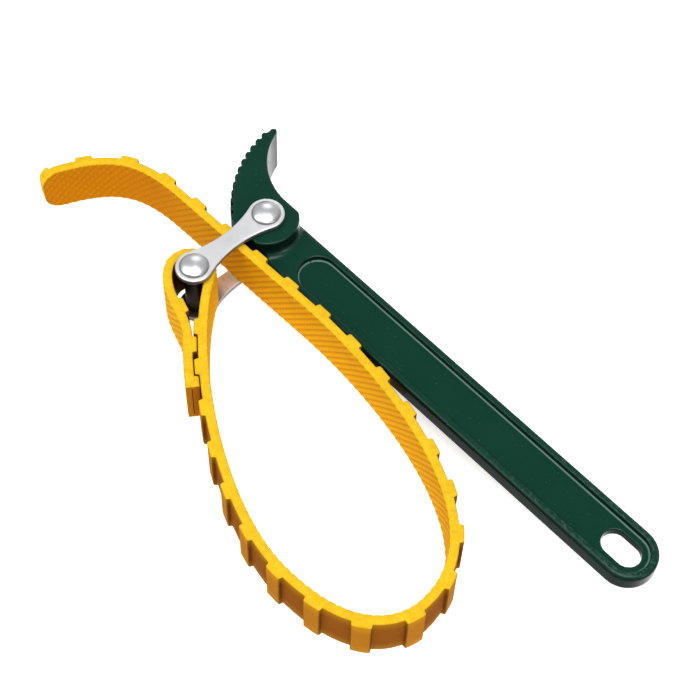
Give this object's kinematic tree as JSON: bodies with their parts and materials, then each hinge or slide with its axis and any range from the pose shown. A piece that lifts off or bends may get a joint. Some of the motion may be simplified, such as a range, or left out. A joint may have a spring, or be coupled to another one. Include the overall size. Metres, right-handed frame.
{
  "type": "oil filter strap wrench",
  "caption": "Strap wrench for oil filters: a green cast lever with a ribbed jaw, riveted link plates and a toothed yellow rubber strap looped back through the throat.",
  "frame": {"origin": "middle of the hanging slot in the grip end, at half the handle's thickness", "axes": "+X along the handle towards the grip end, +Y away from the strap loop, +Z along the rivets towards the front link plate"},
  "size_m": [0.2596, 0.1221, 0.03],
  "materials": {
    "green_enamel": "gloss enamel over a casting",
    "zinc_plate": "bright zinc",
    "rivet_steel": "bright, domed by riveting",
    "spacer_steel": "turned",
    "yellow_rubber": "moulded satin, knurled inside",
    "woven_ply": "woven cord"
  },
  "bodies": {
    "lever": {"lever": "green_enamel"},
    "link": {"front_link_plate": "zinc_plate", "rear_link_plate": "zinc_plate", "head_rivet": "rivet_steel", "strap_rivet": "rivet_steel", "spacer_tube": "spacer_steel"},
    "strap": {"strap": "yellow_rubber", "strap_ply": "woven_ply"}
  },
  "joints": [
    {"name": "link_pivot", "type": "hinge", "parent": "lever", "child": "link", "pos_m": [-0.17295, 0, 0], "axis": [0, 0, 1], "range_deg": [-10, 10]},
    {"name": "strap_swivel", "type": "hinge", "parent": "link", "child": "strap", "pos_m": [-0.17295, -0.034, 0], "axis": [0, 0, 1], "range_deg": [-10, 10]}
  ],
  "couplings": [
    {"joint": "strap_swivel", "follows": "link_pivot", "ratio": -1}
  ]
}
